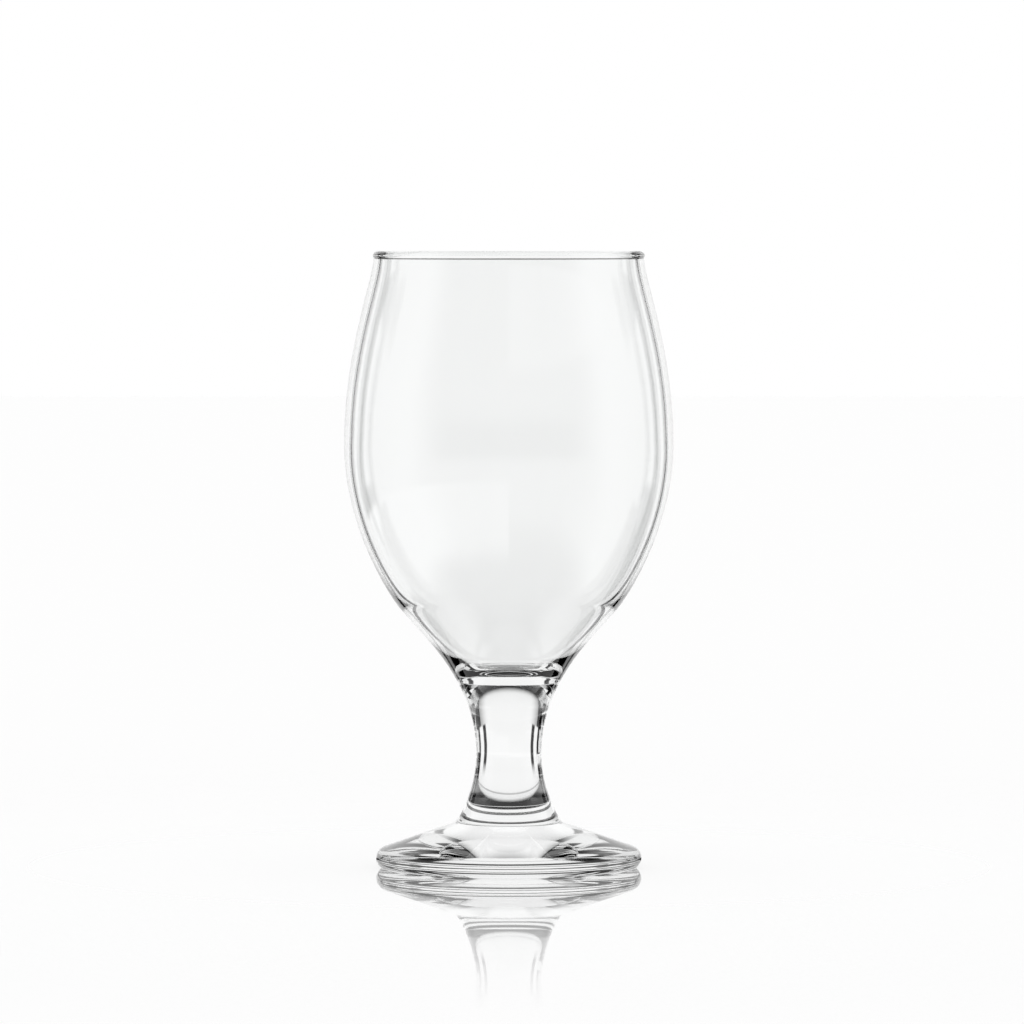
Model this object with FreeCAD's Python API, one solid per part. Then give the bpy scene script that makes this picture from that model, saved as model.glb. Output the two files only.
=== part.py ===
import FreeCAD, Part
import math
import os

# A stemmed beer glass, pressed and blown in one piece of clear glass.
# Millimetres, +Z up. The origin is the middle of the foot, on the plane it stands on.
# The glass is one closed profile, drawn in the XZ plane and turned once round Z.

# Overall height
GLASS_HEIGHT = 160.0

# Foot: a shallow cone with a rounded edge, standing on a flat ring
FOOT_RADIUS = 34.4
FOOT_EDGE_HEIGHT = 5.3
FOOT_EDGE_BULGE_HEIGHT = 2.85
FOOT_SHOULDER_INSET = 1.6
FOOT_CONE_DEG = 19.2
BEARING_OUTER_INSET = 1.7
BEARING_WIDTH = 3.4
PUNT_DEPTH = 0.3

# Stem: solid, with a waist
STEM_BASE_RADIUS = 14.2
WAIST_RADIUS = 8.45
WAIST_HEIGHT = 29.9

# Bowl: turn is where the wall leans out most, belly is where it is widest
TURN_RADIUS = 29.0
TURN_HEIGHT = 68.4
TURN_LEAN_OUTSIDE_DEG = 37.1
TURN_LEAN_INSIDE_DEG = 42.8
BELLY_RADIUS = 42.7
BELLY_HEIGHT = 109.7
LIP_RADIUS = 34.95
LIP_LEAN_DEG = 5.0

# Wall thicknesses
TURN_WALL = 2.25
BELLY_WALL = 1.75
LIP_WALL = 1.9
FLOOR_DROP_BELOW_TURN = 17.3

# Rim: an oval bead, fire polished, a little proud outside and more inside
RIM_BEAD_WIDTH = 3.0
RIM_BEAD_HEIGHT = 1.9
RIM_BEAD_PROUD = 0.25

# How far each curve keeps its end directions, as a share of the straight distance it spans
STEM_BASE_PULL = (0.052, 0.525)
STEM_TOP_PULL = (0.453, 0.183)
HIP_PULL = (0.117, 0.454)
SHOULDER_PULL = (0.494, 0.141)
FLOOR_PULL = (0.41, 0.88)
INNER_HIP_PULL = (0.12, 0.46)

# Edges that share each long curve, so that every turned face is a short band
FLOWING_SPANS = 2
FOOT_EDGE_SPANS = 3
RIM_BEAD_SPANS = 12

UP = (0.0, 1.0)
OUTWARD = (1.0, 0.0)


def at(radius, height):
    """A point of the profile, in the XZ plane."""
    return FreeCAD.Vector(radius, 0.0, height)


def leaning(degrees):
    """The direction that leans outward from straight up by this angle."""
    angle = math.radians(degrees)
    return (math.sin(angle), math.cos(angle))


def shifted(point, direction, distance):
    """The point moved along a direction of the profile plane."""
    return at(point.x + distance * direction[0], point.z + distance * direction[1])


def line(start, end):
    """A straight edge."""
    return Part.LineSegment(start, end).toShape()


def in_spans(curve, first, last, count):
    """The curve from its first to its last parameter, as a row of edges."""
    step = (last - first) / count
    return [curve.toShape(first + step * span, first + step * (span + 1)) for span in range(count)]


def flowing_curve(start, leaves, end, arrives, pull):
    """A smooth row of edges that leaves its start and arrives at its end as directed."""
    span = start.distanceToPoint(end)
    curve = Part.BezierCurve()
    curve.setPoles([
        start,
        shifted(start, leaves, pull[0] * span),
        shifted(end, arrives, -pull[1] * span),
        end,
    ])
    return in_spans(curve, 0.0, 1.0, FLOWING_SPANS)


def rim_bead():
    """The oval bead over the rim, from the outside of the lip to its inside."""
    half_width = RIM_BEAD_WIDTH / 2.0
    half_height = RIM_BEAD_HEIGHT / 2.0
    middle_radius = LIP_RADIUS + RIM_BEAD_PROUD - half_width
    middle = at(middle_radius, GLASS_HEIGHT - half_height)
    oval = Part.Ellipse(
        shifted(middle, OUTWARD, half_width), shifted(middle, UP, half_height), middle)
    inner_lip_radius = LIP_RADIUS - LIP_WALL
    outside = -math.acos((LIP_RADIUS - middle_radius) / half_width)
    inside = 2.0 * math.pi - math.acos((inner_lip_radius - middle_radius) / half_width)
    bead = in_spans(oval, outside, inside, RIM_BEAD_SPANS)
    return bead, oval.value(outside), oval.value(inside)


def foot_underside(bearing_inner, bearing_outer):
    """The hollow under the foot and the flat ring that it stands on."""
    hollow_radius = (bearing_inner ** 2 + PUNT_DEPTH ** 2) / (2.0 * PUNT_DEPTH)
    halfway = bearing_inner / 2.0
    sag = hollow_radius - math.sqrt(hollow_radius ** 2 - halfway ** 2)
    hollow = Part.Arc(
        at(0.0, PUNT_DEPTH), at(halfway, PUNT_DEPTH - sag), at(bearing_inner, 0.0))
    return [hollow.toShape(), line(at(bearing_inner, 0.0), at(bearing_outer, 0.0))]


def foot_and_stem(bearing_outer, waist):
    """The foot's rounded edge, its cone, and the solid stem up to the waist."""
    shoulder = at(FOOT_RADIUS - FOOT_SHOULDER_INSET, FOOT_EDGE_HEIGHT)
    edge = Part.Arc(
        at(bearing_outer, 0.0), at(FOOT_RADIUS, FOOT_EDGE_BULGE_HEIGHT), shoulder)
    rise = math.radians(FOOT_CONE_DEG)
    up_the_cone = (-math.cos(rise), math.sin(rise))
    cone_top = shifted(
        shoulder, up_the_cone, (shoulder.x - STEM_BASE_RADIUS) / math.cos(rise))
    edges = in_spans(edge, edge.FirstParameter, edge.LastParameter, FOOT_EDGE_SPANS)
    edges.append(line(shoulder, cone_top))
    return edges + flowing_curve(cone_top, up_the_cone, waist, UP, STEM_BASE_PULL)


def bowl_outside(waist, turn, lip):
    """The outside of the bowl, from the stem's waist up to the lip."""
    turn_direction = leaning(TURN_LEAN_OUTSIDE_DEG)
    belly = at(BELLY_RADIUS, BELLY_HEIGHT)
    hip = flowing_curve(waist, UP, turn, turn_direction, STEM_TOP_PULL)
    belly_rise = flowing_curve(turn, turn_direction, belly, UP, HIP_PULL)
    shoulder = flowing_curve(belly, UP, lip, leaning(-LIP_LEAN_DEG), SHOULDER_PULL)
    return hip + belly_rise + shoulder


def bowl_inside(turn, lip, floor):
    """The inside of the bowl, from the lip down to the middle of its floor."""
    across_wall = leaning(TURN_LEAN_OUTSIDE_DEG - 90.0)
    inner_turn = shifted(turn, across_wall, TURN_WALL)
    turn_direction = leaning(TURN_LEAN_INSIDE_DEG)
    belly = at(BELLY_RADIUS - BELLY_WALL, BELLY_HEIGHT)
    shoulder = flowing_curve(belly, UP, lip, leaning(-LIP_LEAN_DEG), SHOULDER_PULL)
    belly_rise = flowing_curve(inner_turn, turn_direction, belly, UP, INNER_HIP_PULL)
    bottom = flowing_curve(floor, OUTWARD, inner_turn, turn_direction, FLOOR_PULL)
    return shoulder + belly_rise + bottom


def beer_glass():
    """The whole glass, one solid."""
    bearing_outer = FOOT_RADIUS - BEARING_OUTER_INSET
    bearing_inner = bearing_outer - BEARING_WIDTH
    waist = at(WAIST_RADIUS, WAIST_HEIGHT)
    turn = at(TURN_RADIUS, TURN_HEIGHT)
    floor = at(0.0, TURN_HEIGHT - FLOOR_DROP_BELOW_TURN)
    bead, outer_lip, inner_lip = rim_bead()
    edges = foot_underside(bearing_inner, bearing_outer)
    edges += foot_and_stem(bearing_outer, waist)
    edges += bowl_outside(waist, turn, outer_lip)
    edges += bead
    edges += bowl_inside(turn, inner_lip, floor)
    edges.append(line(floor, at(0.0, PUNT_DEPTH)))
    profile = Part.Face(Part.Wire(Part.__sortEdges__(edges)))
    return profile.revolve(at(0.0, 0.0), FreeCAD.Vector(0.0, 0.0, 1.0), 360.0)


os.makedirs("parts", exist_ok=True)
glass = beer_glass()
glass.exportStep("parts/beer_glass.step")
print("volume cm3", round(glass.Volume / 1000.0, 2), "valid", glass.isValid())
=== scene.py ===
import logging
import math
from dataclasses import dataclass
from enum import Enum

import bpy
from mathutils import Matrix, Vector


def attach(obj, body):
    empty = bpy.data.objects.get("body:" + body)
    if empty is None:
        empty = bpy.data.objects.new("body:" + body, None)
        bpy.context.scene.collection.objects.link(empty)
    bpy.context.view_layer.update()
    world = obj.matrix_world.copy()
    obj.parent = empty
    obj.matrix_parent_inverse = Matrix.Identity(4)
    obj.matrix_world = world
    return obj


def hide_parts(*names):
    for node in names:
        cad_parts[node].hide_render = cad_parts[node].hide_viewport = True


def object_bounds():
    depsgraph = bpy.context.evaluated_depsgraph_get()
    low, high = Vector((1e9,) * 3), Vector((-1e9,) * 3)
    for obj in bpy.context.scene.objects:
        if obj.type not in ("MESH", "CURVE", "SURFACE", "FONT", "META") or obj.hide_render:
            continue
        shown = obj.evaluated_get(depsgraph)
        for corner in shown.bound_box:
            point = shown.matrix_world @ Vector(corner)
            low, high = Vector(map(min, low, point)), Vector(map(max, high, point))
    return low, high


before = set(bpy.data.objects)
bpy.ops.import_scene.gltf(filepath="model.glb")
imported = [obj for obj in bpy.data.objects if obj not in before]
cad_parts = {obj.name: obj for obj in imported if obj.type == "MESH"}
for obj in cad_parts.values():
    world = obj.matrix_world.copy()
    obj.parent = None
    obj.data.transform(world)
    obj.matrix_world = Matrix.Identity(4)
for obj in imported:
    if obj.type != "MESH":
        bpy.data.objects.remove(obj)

MM = 0.001
CAD_LOW, CAD_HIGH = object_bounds()

log = logging.getLogger("beer_glass")

Point = tuple[float, float]
Colour = tuple[float, float, float, float]
Value = float | bpy.types.NodeSocket


class Rays(Enum):
    """The kinds of ray that a studio surface is told apart by."""

    CAMERA = "Is Camera Ray"
    GLOSSY = "Is Glossy Ray"
    TRANSMISSION = "Is Transmission Ray"


# Building helpers


def deselect_all() -> None:
    """Leave edit mode and take every object out of the selection."""
    if bpy.context.object and bpy.context.object.mode != "OBJECT":
        bpy.ops.object.mode_set(mode="OBJECT")
    bpy.ops.object.select_all(action="DESELECT")


def name_active(name: str) -> bpy.types.Object:
    """Name the active object and its mesh.

    Args:
        name: the object's name.

    Returns:
        The active object.
    """
    thing = bpy.context.object
    thing.name = name
    thing.data.name = name
    return thing


def new_material(name: str) -> tuple[bpy.types.Material, bpy.types.NodeTree]:
    """Make an empty node material.

    Args:
        name: the material's name.

    Returns:
        The material and its node tree, cleared.
    """
    material = bpy.data.materials.new(name)
    material.use_nodes = True
    material.node_tree.nodes.clear()
    return material, material.node_tree


def dress(thing: bpy.types.Object, material: bpy.types.Material) -> None:
    """Give an object one material."""
    thing.data.materials.clear()
    thing.data.materials.append(material)


class Calculator:
    """Adds shader nodes to a tree and links them."""

    def __init__(self, tree: bpy.types.NodeTree) -> None:
        """Keep the tree that gets the nodes."""
        self.tree = tree

    def plug(self, value: Value, socket: bpy.types.NodeSocket) -> None:
        """Link a socket to an input, or set the input to a number.

        Args:
            value: the socket, or the number.
            socket: the input.
        """
        if isinstance(value, (int, float)):
            if socket.type == "RGBA":
                socket.default_value = (value, value, value, 1.0)
            else:
                socket.default_value = value
        else:
            self.tree.links.new(value, socket)

    def math(self, operation: str, *values: Value) -> bpy.types.NodeSocket:
        """Add a Math node.

        Args:
            operation: what the node does.
            values: its inputs, in order.

        Returns:
            The node's result.
        """
        node = self.tree.nodes.new("ShaderNodeMath")
        node.operation = operation
        for value, socket in zip(values, node.inputs):
            self.plug(value, socket)
        return node.outputs["Value"]

    def dot(self, vector: bpy.types.NodeSocket, axis: tuple[float, float, float]
            ) -> bpy.types.NodeSocket:
        """How far a vector reaches along an axis.

        Args:
            vector: the vector.
            axis: the axis, of length 1.

        Returns:
            The vector's share along the axis.
        """
        node = self.tree.nodes.new("ShaderNodeVectorMath")
        node.operation = "DOT_PRODUCT"
        self.tree.links.new(vector, node.inputs[0])
        node.inputs[1].default_value = axis
        return node.outputs["Value"]

    def product(self, *values: Value) -> bpy.types.NodeSocket:
        """Multiply two or more values.

        Args:
            values: the values.

        Returns:
            Their product.
        """
        total = values[0]
        for value in values[1:]:
            total = self.math("MULTIPLY", total, value)
        return total

    def length(self, vector: bpy.types.NodeSocket) -> bpy.types.NodeSocket:
        """The length of a vector.

        Args:
            vector: the vector.

        Returns:
            Its length.
        """
        node = self.tree.nodes.new("ShaderNodeVectorMath")
        node.operation = "LENGTH"
        self.tree.links.new(vector, node.inputs[0])
        return node.outputs["Value"]

    def fade(self, value: bpy.types.NodeSocket, start: float, end: float, before: float,
             after: float) -> bpy.types.NodeSocket:
        """Fade smoothly from one level to another as a value rises.

        Args:
            value: the value that rises.
            start: where the fade starts.
            end: where it ends.
            before: the level up to the start.
            after: the level from the end on.

        Returns:
            The level.
        """
        node = self.tree.nodes.new("ShaderNodeMapRange")
        node.interpolation_type = "SMOOTHSTEP"
        node.inputs["From Min"].default_value = start
        node.inputs["From Max"].default_value = end
        node.inputs["To Min"].default_value = before
        node.inputs["To Max"].default_value = after
        self.tree.links.new(value, node.inputs["Value"])
        return node.outputs["Result"]

    def blend(self, share: Value, first: Value, second: Value) -> bpy.types.NodeSocket:
        """Mix two levels.

        Args:
            share: 0 for the first and 1 for the second.
            first: the first level.
            second: the second level.

        Returns:
            The mixed level.
        """
        node = self.tree.nodes.new("ShaderNodeMix")
        self.plug(share, node.inputs[0])
        self.plug(first, node.inputs[2])
        self.plug(second, node.inputs[3])
        return node.outputs[0]

    def background(self, level: Value) -> bpy.types.NodeSocket:
        """A world that shines with a grey level.

        Args:
            level: the level.

        Returns:
            The shader.
        """
        node = self.tree.nodes.new("ShaderNodeBackground")
        self.plug(level, node.inputs["Color"])
        return node.outputs["Background"]

    def emission(self, level: Value) -> bpy.types.NodeSocket:
        """A surface that shines with a grey level.

        Args:
            level: the level.

        Returns:
            The shader.
        """
        node = self.tree.nodes.new("ShaderNodeEmission")
        self.plug(level, node.inputs["Color"])
        return node.outputs["Emission"]

    def seen_by(self, *rays: Rays) -> bpy.types.NodeSocket:
        """Whether any of these rays sees the surface.

        Args:
            rays: the kinds of ray.

        Returns:
            A socket that is 1 for such a ray and 0 for the others.
        """
        path = self.tree.nodes.new("ShaderNodeLightPath")
        total = path.outputs[rays[0].value]
        for ray in rays[1:]:
            total = self.math("MAXIMUM", total, path.outputs[ray.value])
        return total

    def either(self, share: Value, first: bpy.types.NodeSocket,
               second: bpy.types.NodeSocket) -> bpy.types.NodeSocket:
        """Mix two shaders.

        Args:
            share: 0 for the first and 1 for the second.
            first: the first shader.
            second: the second shader.

        Returns:
            The mixed shader.
        """
        node = self.tree.nodes.new("ShaderNodeMixShader")
        self.plug(share, node.inputs["Fac"])
        self.tree.links.new(first, node.inputs[1])
        self.tree.links.new(second, node.inputs[2])
        return node.outputs["Shader"]


# The glass


@dataclass(frozen=True)
class ClearGlass:
    """Colourless soda-lime glass, fire polished, with the faint waviness of blown glass."""

    ior: float = 1.52
    roughness: float = 0.0
    tint: Colour = (0.985, 0.99, 0.988, 1.0)
    wave_scale: float = 42.0
    wave_detail: float = 1.0
    wave_height: float = 0.012 * MM

    def build(self) -> bpy.types.Material:
        """Make the material.

        Returns:
            The glass material.
        """
        material, tree = new_material("clear_glass")
        nodes, links = tree.nodes, tree.links
        output = nodes.new("ShaderNodeOutputMaterial")
        shader = nodes.new("ShaderNodeBsdfPrincipled")
        shader.inputs["Base Color"].default_value = self.tint
        shader.inputs["Metallic"].default_value = 0.0
        shader.inputs["Transmission Weight"].default_value = 1.0
        shader.inputs["IOR"].default_value = self.ior
        shader.inputs["Roughness"].default_value = self.roughness
        coordinates = nodes.new("ShaderNodeTexCoord")
        waves = nodes.new("ShaderNodeTexNoise")
        waves.inputs["Scale"].default_value = self.wave_scale
        waves.inputs["Detail"].default_value = self.wave_detail
        bump = nodes.new("ShaderNodeBump")
        bump.inputs["Distance"].default_value = self.wave_height
        links.new(coordinates.outputs["Object"], waves.inputs["Vector"])
        links.new(waves.outputs["Fac"], bump.inputs["Height"])
        links.new(bump.outputs["Normal"], shader.inputs["Normal"])
        links.new(shader.outputs["BSDF"], output.inputs["Surface"])
        return material


def bezier(start: Point, leaves: Point, end: Point, arrives: Point,
           pull: Point, steps: int) -> list[Point]:
    """Points along a cubic curve that leaves and arrives in given directions.

    Args:
        start: where the curve starts, as radius and height.
        leaves: its direction there.
        end: where it ends.
        arrives: its direction there.
        pull: how far each direction is kept, as a share of the straight distance.
        steps: how many points follow the start.

    Returns:
        The points after the start, the end included.
    """
    span = math.dist(start, end)
    first = (start[0] + pull[0] * span * leaves[0], start[1] + pull[0] * span * leaves[1])
    second = (end[0] - pull[1] * span * arrives[0], end[1] - pull[1] * span * arrives[1])
    points = []
    for step in range(1, steps + 1):
        t = step / steps
        s = 1.0 - t
        weights = (s ** 3, 3.0 * s * s * t, 3.0 * s * t * t, t ** 3)
        corners = (start, first, second, end)
        points.append((
            sum(w * c[0] for w, c in zip(weights, corners)),
            sum(w * c[1] for w, c in zip(weights, corners)),
        ))
    return points


def arc_through(start: Point, middle: Point, end: Point, steps: int) -> list[Point]:
    """Points along the circular arc through three points.

    Args:
        start: where the arc starts.
        middle: a point that it passes.
        end: where it ends.
        steps: how many points follow the start.

    Returns:
        The points after the start, the end included.
    """
    (ax, ay), (bx, by), (cx, cy) = start, middle, end
    twice_area = 2.0 * (ax * (by - cy) + bx * (cy - ay) + cx * (ay - by))
    a_square, b_square, c_square = ax * ax + ay * ay, bx * bx + by * by, cx * cx + cy * cy
    centre = (
        (a_square * (by - cy) + b_square * (cy - ay) + c_square * (ay - by)) / twice_area,
        (a_square * (cx - bx) + b_square * (ax - cx) + c_square * (bx - ax)) / twice_area,
    )
    radius = math.dist(centre, start)
    first, passed, last = (
        math.atan2(y - centre[1], x - centre[0]) for x, y in (start, middle, end))
    passed = (passed - first) % math.tau
    last = (last - first) % math.tau
    sweep = last if passed < last else last - math.tau
    angles = [first + sweep * step / steps for step in range(1, steps + 1)]
    return [
        (centre[0] + radius * math.cos(angle), centre[1] + radius * math.sin(angle))
        for angle in angles
    ]


def leaning(degrees: float) -> Point:
    """The direction that leans outward from straight up by this angle."""
    angle = math.radians(degrees)
    return (math.sin(angle), math.cos(angle))


@dataclass
class BeerGlass:
    """The whole glass: foot, solid stem and bowl, turned as one piece. Sizes in millimetres."""

    height: float
    belly_radius: float
    foot_radius: float = 34.4
    foot_edge_height: float = 5.3
    foot_edge_bulge_height: float = 2.85
    foot_shoulder_inset: float = 1.6
    foot_cone_deg: float = 19.2
    bearing_outer_inset: float = 1.7
    bearing_width: float = 3.4
    punt_depth: float = 0.3
    stem_base_radius: float = 14.2
    waist_radius: float = 8.45
    waist_height: float = 29.9
    turn_radius: float = 29.0
    turn_height: float = 68.4
    turn_lean_outside_deg: float = 37.1
    turn_lean_inside_deg: float = 42.8
    belly_height: float = 109.7
    lip_radius: float = 34.95
    lip_lean_deg: float = 5.0
    turn_wall: float = 2.25
    belly_wall: float = 1.75
    lip_wall: float = 1.9
    floor_drop: float = 17.3
    bead_width: float = 3.0
    bead_height: float = 2.4
    bead_proud: float = 0.25
    stem_base_pull: Point = (0.052, 0.525)
    stem_top_pull: Point = (0.453, 0.183)
    hip_pull: Point = (0.117, 0.454)
    shoulder_pull: Point = (0.494, 0.141)
    floor_pull: Point = (0.41, 0.88)
    inner_hip_pull: Point = (0.12, 0.46)
    curve_steps: int = 20
    bead_steps: int = 28
    edge_steps: int = 14
    turns: int = 320
    merge_distance: float = 0.002
    smooth_deg: float = 28.0

    def underside(self) -> list[Point]:
        """The hollow under the foot and the flat ring it stands on.

        Returns:
            Points from the middle outwards.
        """
        outer = self.foot_radius - self.bearing_outer_inset
        inner = outer - self.bearing_width
        hollow = (inner ** 2 + self.punt_depth ** 2) / (2.0 * self.punt_depth)
        half = inner / 2.0
        sag = hollow - math.sqrt(hollow ** 2 - half ** 2)
        middle = (0.0, self.punt_depth)
        points = [middle]
        points += arc_through(middle, (half, self.punt_depth - sag), (inner, 0.0), self.edge_steps)
        points.append((outer, 0.0))
        return points

    def foot_and_stem(self, bearing: Point, waist: Point) -> list[Point]:
        """The foot's rounded edge, its cone and the stem up to the waist.

        Args:
            bearing: the outer edge of the flat ring.
            waist: the stem's thinnest place.

        Returns:
            Points from after the ring up to the waist.
        """
        shoulder = (self.foot_radius - self.foot_shoulder_inset, self.foot_edge_height)
        bulge = (self.foot_radius, self.foot_edge_bulge_height)
        points = arc_through(bearing, bulge, shoulder, self.edge_steps)
        rise = math.radians(self.foot_cone_deg)
        run = shoulder[0] - self.stem_base_radius
        cone_top = (self.stem_base_radius, shoulder[1] + run * math.tan(rise))
        points.append(cone_top)
        along = (-math.cos(rise), math.sin(rise))
        points += bezier(cone_top, along, waist, (0.0, 1.0), self.stem_base_pull, self.curve_steps)
        return points

    def rim_bead(self) -> list[Point]:
        """The oval bead over the rim.

        Returns:
            Points from the outer lip over the top to the inner lip.
        """
        half_width, half_height = self.bead_width / 2.0, self.bead_height / 2.0
        middle = self.lip_radius + self.bead_proud - half_width
        inner_lip = self.lip_radius - self.lip_wall
        first = -math.acos((self.lip_radius - middle) / half_width)
        last = math.tau - math.acos((inner_lip - middle) / half_width)
        points = []
        for step in range(self.bead_steps + 1):
            angle = first + (last - first) * step / self.bead_steps
            points.append((
                middle + half_width * math.cos(angle),
                self.height - half_height + half_height * math.sin(angle),
            ))
        return points

    def profile(self) -> list[Point]:
        """The outline of the glass as it is turned.

        Returns:
            Points from the middle of the underside, round the outside and over the
            rim, down to the middle of the bowl's floor.
        """
        up, outward = (0.0, 1.0), (1.0, 0.0)
        waist = (self.waist_radius, self.waist_height)
        turn = (self.turn_radius, self.turn_height)
        belly = (self.belly_radius, self.belly_height)
        inner_belly = (self.belly_radius - self.belly_wall, self.belly_height)
        across = leaning(self.turn_lean_outside_deg - 90.0)
        inner_turn = (turn[0] + self.turn_wall * across[0], turn[1] + self.turn_wall * across[1])
        outside, inside = leaning(self.turn_lean_outside_deg), leaning(self.turn_lean_inside_deg)
        lip_lean = leaning(-self.lip_lean_deg)
        floor = (0.0, self.turn_height - self.floor_drop)
        bead = self.rim_bead()
        steps = self.curve_steps
        points = self.underside()
        points += self.foot_and_stem(points[-1], waist)
        points += bezier(waist, up, turn, outside, self.stem_top_pull, steps)
        points += bezier(turn, outside, belly, up, self.hip_pull, steps)
        points += bezier(belly, up, bead[0], lip_lean, self.shoulder_pull, steps)
        points += bead[1:]
        inner = bezier(floor, outward, inner_turn, inside, self.floor_pull, steps)
        inner += bezier(inner_turn, inside, inner_belly, up, self.inner_hip_pull, steps)
        inner += bezier(inner_belly, up, bead[-1], lip_lean, self.shoulder_pull, steps)[:-1]
        points += reversed(inner)
        points.append(floor)
        return points

    def build(self) -> bpy.types.Object:
        """Turn the outline into the glass.

        Returns:
            The finished mesh object, at the origin.
        """
        points = self.profile()
        deselect_all()
        bpy.ops.mesh.primitive_plane_add(size=MM, location=(0.0, 0.0, points[0][1] * MM))
        glass = name_active("glass_body")
        bpy.ops.object.transform_apply(location=True, rotation=False, scale=False)
        bpy.ops.object.mode_set(mode="EDIT")
        bpy.ops.mesh.merge(type="CENTER")
        for before, after in zip(points, points[1:]):
            step = ((after[0] - before[0]) * MM, 0.0, (after[1] - before[1]) * MM)
            bpy.ops.mesh.extrude_vertices_move(TRANSFORM_OT_translate={"value": step})
        bpy.ops.mesh.select_all(action="SELECT")
        bpy.ops.mesh.spin(steps=self.turns, angle=math.tau, center=(0.0, 0.0, 0.0),
                          axis=(0.0, 0.0, 1.0))
        bpy.ops.mesh.select_all(action="SELECT")
        bpy.ops.mesh.remove_doubles(threshold=self.merge_distance * MM)
        bpy.ops.mesh.normals_make_consistent(inside=False)
        bpy.ops.object.mode_set(mode="OBJECT")
        bpy.ops.object.shade_smooth_by_angle(angle=math.radians(self.smooth_deg))
        return glass


# The studio


@dataclass
class Studio:
    """White behind the glass; beside it painted dark and grey panel shapes, seen only in the glass
    as painted reflections. Sizes in metres.

    Bearings are angles from the view's direction, seen from the glass.
    """

    # Low on the walls, and on the floor: white, then a painted dark card, seen only in the glass,
    # from here
    white_half_deg: float = 47.5
    dark_outer_deg: float = 55.0
    # Close to the glass, where the stem shows the floor, the painted dark card is wider
    close_dark_outer_deg: float = 67.0
    close_painted_cards_end: Point = (0.45, 0.65)
    # Two narrow painted dark flag bands in the white, which leave thin dark lines, painted
    # reflections, in the wall and the stem
    painted_flag_deg: Point = (31.0, 37.5)
    painted_flag_reach: Point = (0.05, 0.16)
    # Higher up the white is narrower and fades out sideways
    low_top_deg: float = 13.0
    upper_half_deg: float = 42.0
    upper_fade_deg: Point = (24.0, 46.0)
    upper_edge_level: float = 0.35
    upper_dark_outer_deg: float = 63.0
    ceiling_deg: Point = (33.0, 47.0)
    dark_level: float = 0.004
    # The painted pale panel shapes beside the glass, and the painted grey room before it
    side_level: float = 0.85
    side_fade_deg: Point = (100.0, 140.0)
    painted_room_level: float = 0.2
    # The painted floor before the glass, and an opening in the painted left card for views from
    # above
    near_floor_starts: Point = (0.07, 0.22)
    near_floor_ends: Point = (0.45, 1.6)
    near_level: float = 0.7
    opening_starts: Point = (0.09, 0.13)
    opening_ends: Point = (0.34, 0.4)
    # The shade under the foot: inside the hollow, and where the flat ring touches the floor
    hollow_shade: Point = (0.016, 0.021)
    ring_radius: float = 0.0295
    ring_shade: Point = (0.00105, 0.0035)
    shade_level: float = 0.05
    soft_deg: float = 1.0
    # The floor as the camera sees it
    floor_side: float = 12.0
    floor_colour: Colour = (0.985, 0.985, 0.985, 1.0)
    mirror: float = 1.3
    mirror_colour: Colour = (1.0, 1.0, 1.0, 1.0)
    mirror_fades: Point = (0.08, 0.36)
    mirror_roughness: float = 0.01
    fill: float = 1.0

    def bearing(self, nodes: Calculator, place: bpy.types.NodeSocket) -> bpy.types.NodeSocket:
        """The angle between a place and the view's direction, seen from the glass.

        Args:
            nodes: what adds the nodes.
            place: a point of the floor, or a direction of the world.

        Returns:
            The angle in degrees, from 0 to 180.
        """
        along = nodes.dot(place, (0.0, 1.0, 0.0))
        across = nodes.math("ABSOLUTE", nodes.dot(place, (1.0, 0.0, 0.0)))
        return nodes.math("DEGREES", nodes.math("ARCTAN2", across, along))

    def beyond(self, nodes: Calculator, angle: bpy.types.NodeSocket,
               limit: float) -> bpy.types.NodeSocket:
        """Tell where an angle is more than a limit, with a soft edge.

        Args:
            nodes: what adds the nodes.
            angle: the angle in degrees.
            limit: the limit in degrees.

        Returns:
            1 beyond the limit and 0 before it.
        """
        return nodes.fade(angle, limit - self.soft_deg, limit + self.soft_deg, 0.0, 1.0)

    def low_ring(self, nodes: Calculator, bearing: bpy.types.NodeSocket,
                 painted_flag_share: Value, close: Value) -> bpy.types.NodeSocket:
        """The painted grey level of the floor and of the walls' foot, as glossy and transmission
        rays see it.

        Args:
            nodes: what adds the nodes.
            bearing: the bearing in degrees.
            painted_flag_share: 1 where the two narrow painted flag bands stand in the white.
            close: 1 where the painted dark card is wider, because the stem sees it.

        Returns:
            The level.
        """
        # Painted dark flag bands and dark card, seen only in the glass's reflections and
        # refractions
        painted_flags = nodes.math("SUBTRACT", self.beyond(nodes, bearing, self.painted_flag_deg[0]),
                           self.beyond(nodes, bearing, self.painted_flag_deg[1]))
        painted_cards = self.beyond(nodes, bearing, self.white_half_deg)
        dark = nodes.math("MAXIMUM", nodes.product(painted_flags, painted_flag_share), painted_cards)
        level = nodes.blend(dark, 1.0, self.dark_level)
        far_ring = self.sides(nodes, bearing, level, self.dark_outer_deg)
        close_ring = self.sides(nodes, bearing, level, self.close_dark_outer_deg)
        return nodes.blend(close, far_ring, close_ring)

    def high_ring(self, nodes: Calculator, bearing: bpy.types.NodeSocket) -> bpy.types.NodeSocket:
        """The painted grey level of the walls higher up, where the white fades out sideways.

        Args:
            nodes: what adds the nodes.
            bearing: the bearing in degrees.

        Returns:
            The level.
        """
        level = nodes.fade(bearing, *self.upper_fade_deg, 1.0, self.upper_edge_level)
        level = nodes.blend(self.beyond(nodes, bearing, self.upper_half_deg), level,
                            self.dark_level)
        return self.sides(nodes, bearing, level, self.upper_dark_outer_deg)

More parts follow.
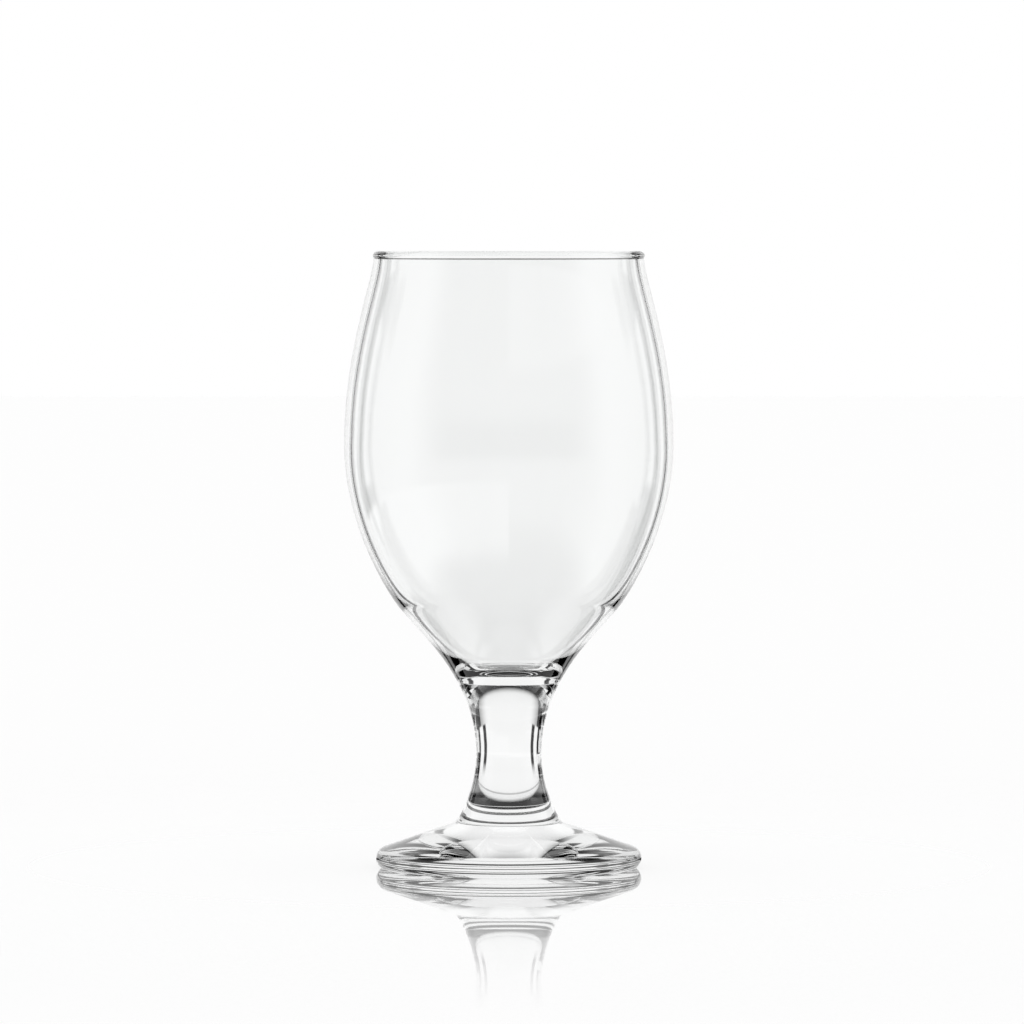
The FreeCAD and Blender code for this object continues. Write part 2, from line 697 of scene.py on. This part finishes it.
    def sides(self, nodes: Calculator, bearing: bpy.types.NodeSocket,
              level: bpy.types.NodeSocket, starts_deg: float) -> bpy.types.NodeSocket:
        """Add the painted panel shapes beside the glass and the painted room before it.

        Args:
            nodes: what adds the nodes.
            bearing: the bearing in degrees.
            level: the level of what stands behind it.
            starts_deg: the bearing at which the painted side panel shapes start.

        Returns:
            The level all round.
        """
        painted_panels = nodes.fade(bearing, *self.side_fade_deg, self.side_level, self.painted_room_level)
        return nodes.blend(self.beyond(nodes, bearing, starts_deg), level, painted_panels)

    def world(self) -> None:
        """The painted far walls and dark ceiling that only glossy and transmission rays see, plain
        white for the camera, and an even fill for the rest.
        """
        world = bpy.data.worlds.new("studio")
        bpy.context.scene.world = world
        world.use_nodes = True
        tree = world.node_tree
        tree.nodes.clear()
        nodes = Calculator(tree)
        direction = tree.nodes.new("ShaderNodeTexCoord").outputs["Generated"]
        rise = nodes.math("DEGREES", nodes.math("ARCSINE", nodes.dot(direction, (0.0, 0.0, 1.0))))
        bearing = self.bearing(nodes, direction)
        level = nodes.blend(self.beyond(nodes, rise, self.low_top_deg),
                            self.low_ring(nodes, bearing, 1.0, 0.0), self.high_ring(nodes, bearing))
        level = nodes.blend(nodes.fade(rise, *self.ceiling_deg, 0.0, 1.0), level, self.dark_level)
        shown = nodes.background(level)
        plain = nodes.background(1.0)
        fill = nodes.background(self.fill)
        # Painted reflections: glossy and transmission rays see the painted level pattern; the
        # camera sees plain white and other rays the even fill
        lit = nodes.either(nodes.seen_by(Rays.GLOSSY, Rays.TRANSMISSION), fill, shown)
        lit = nodes.either(nodes.seen_by(Rays.CAMERA), lit, plain)
        output = tree.nodes.new("ShaderNodeOutputWorld")
        tree.links.new(lit, output.inputs["Surface"])

    def painted_floor_level(self, nodes: Calculator, place: bpy.types.NodeSocket) -> bpy.types.NodeSocket:
        """The painted grey level that the floor glows with for glossy and transmission rays.

        Args:
            nodes: what adds the nodes.
            place: a point of the floor.

        Returns:
            The level, with the shade under the foot.
        """
        bearing = self.bearing(nodes, place)
        away = nodes.length(place)
        level = self.low_ring(nodes, bearing, nodes.fade(away, *self.painted_flag_reach, 0.0, 1.0),
                              nodes.fade(away, *self.close_painted_cards_end, 1.0, 0.0))
        left = nodes.math("LESS_THAN", nodes.dot(place, (1.0, 0.0, 0.0)), 0.0)
        opening = nodes.product(self.beyond(nodes, bearing, self.white_half_deg), left,
                                nodes.fade(away, *self.opening_starts, 0.0, 1.0),
                                nodes.fade(away, *self.opening_ends, 1.0, 0.0))
        near = nodes.product(nodes.fade(bearing, *self.side_fade_deg, 0.0, 1.0),
                             nodes.fade(away, *self.near_floor_starts, 0.0, 1.0),
                             nodes.fade(away, *self.near_floor_ends, 1.0, 0.0))
        level = nodes.blend(near, level, self.near_level)
        level = nodes.blend(opening, level, 1.0)
        # Painted shadow under the foot: darker inside the hollow and along the flat ring where it
        # touches the floor
        from_ring = nodes.math("ABSOLUTE", nodes.math("SUBTRACT", away, self.ring_radius))
        ring = nodes.fade(from_ring, *self.ring_shade, self.shade_level, 1.0)
        hollow = nodes.fade(away, *self.hollow_shade, self.shade_level, 1.0)
        return nodes.product(level, ring, hollow)

    def floor(self) -> bpy.types.Object:
        """The pale glossy floor, which the glass shows as the painted low ring of the studio,
        glowing for glossy and transmission rays.

        Returns:
            The floor object.
        """
        deselect_all()
        bpy.ops.mesh.primitive_plane_add(size=self.floor_side, location=(0.0, 0.0, 0.0))
        floor = name_active("studio_floor")
        material, tree = new_material("floor_white")
        nodes = Calculator(tree)
        place = tree.nodes.new("ShaderNodeTexCoord").outputs["Object"]
        pale = tree.nodes.new("ShaderNodeBsdfPrincipled")
        pale.inputs["Base Color"].default_value = self.floor_colour
        pale.inputs["Roughness"].default_value = 1.0
        pale.inputs["Specular IOR Level"].default_value = 0.0
        gloss = tree.nodes.new("ShaderNodeBsdfAnisotropic")
        gloss.inputs["Color"].default_value = self.mirror_colour
        gloss.inputs["Roughness"].default_value = self.mirror_roughness
        away = nodes.length(place)
        grazing = tree.nodes.new("ShaderNodeFresnel").outputs["Fac"]
        share = nodes.math("MINIMUM", nodes.product(grazing, self.mirror), 1.0)
        share = nodes.product(share, nodes.fade(away, *self.mirror_fades, 1.0, 0.0))
        polished = nodes.either(share, pale.outputs["BSDF"], gloss.outputs["BSDF"])
        # Painted reflection: the floor glows with the painted level for glossy and transmission
        # rays instead of its lit surface
        shown = nodes.emission(self.painted_floor_level(nodes, place))
        lit = nodes.either(nodes.seen_by(Rays.GLOSSY, Rays.TRANSMISSION), polished, shown)
        output = tree.nodes.new("ShaderNodeOutputMaterial")
        tree.links.new(lit, output.inputs["Surface"])
        dress(floor, material)
        return floor


@dataclass
class PhotoCamera:
    """The camera, far off and level with the rim. Sizes in metres."""

    distance: float = 1.85
    height: float = 0.16
    aim_height: float = 0.0924
    aim_right: float = 0.00083
    lens: float = 251.2
    clips: Point = (0.1, 60.0)

    def build(self) -> bpy.types.Object:
        """Place the camera.

        Returns:
            The camera object.
        """
        data = bpy.data.cameras.new("camera")
        data.lens = self.lens
        data.clip_start, data.clip_end = self.clips
        camera = bpy.data.objects.new("camera", data)
        bpy.context.scene.collection.objects.link(camera)
        place = Vector((self.aim_right, -self.distance, self.height))
        aim = Vector((self.aim_right, 0.0, self.aim_height))
        camera.location = place
        camera.rotation_mode = "QUATERNION"
        camera.rotation_quaternion = (aim - place).to_track_quat("-Z", "Y")
        bpy.context.scene.camera = camera
        return camera


def report(thing: bpy.types.Object) -> None:
    """Log a piece's size in millimetres and how many faces it has."""
    size = " x ".join(f"{side / MM:.1f}" for side in thing.dimensions)
    log.info("%s: %s mm, %d faces", thing.name, size, len(thing.data.polygons))


def main() -> None:
    """Build the glass and the studio round it."""
    logging.basicConfig(level=logging.INFO, format="%(name)s: %(message)s")
    bpy.context.scene.view_settings.view_transform = "Standard"
    belly = min(CAD_HIGH.x, CAD_HIGH.y, -CAD_LOW.x, -CAD_LOW.y) / MM
    glass = BeerGlass(height=CAD_HIGH.z / MM, belly_radius=belly).build()
    dress(glass, ClearGlass().build())
    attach(glass, "root")
    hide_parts("beer_glass")
    report(glass)
    studio = Studio()
    studio.world()
    studio.floor()
    PhotoCamera().build()


if __name__ == "__main__":
    main()
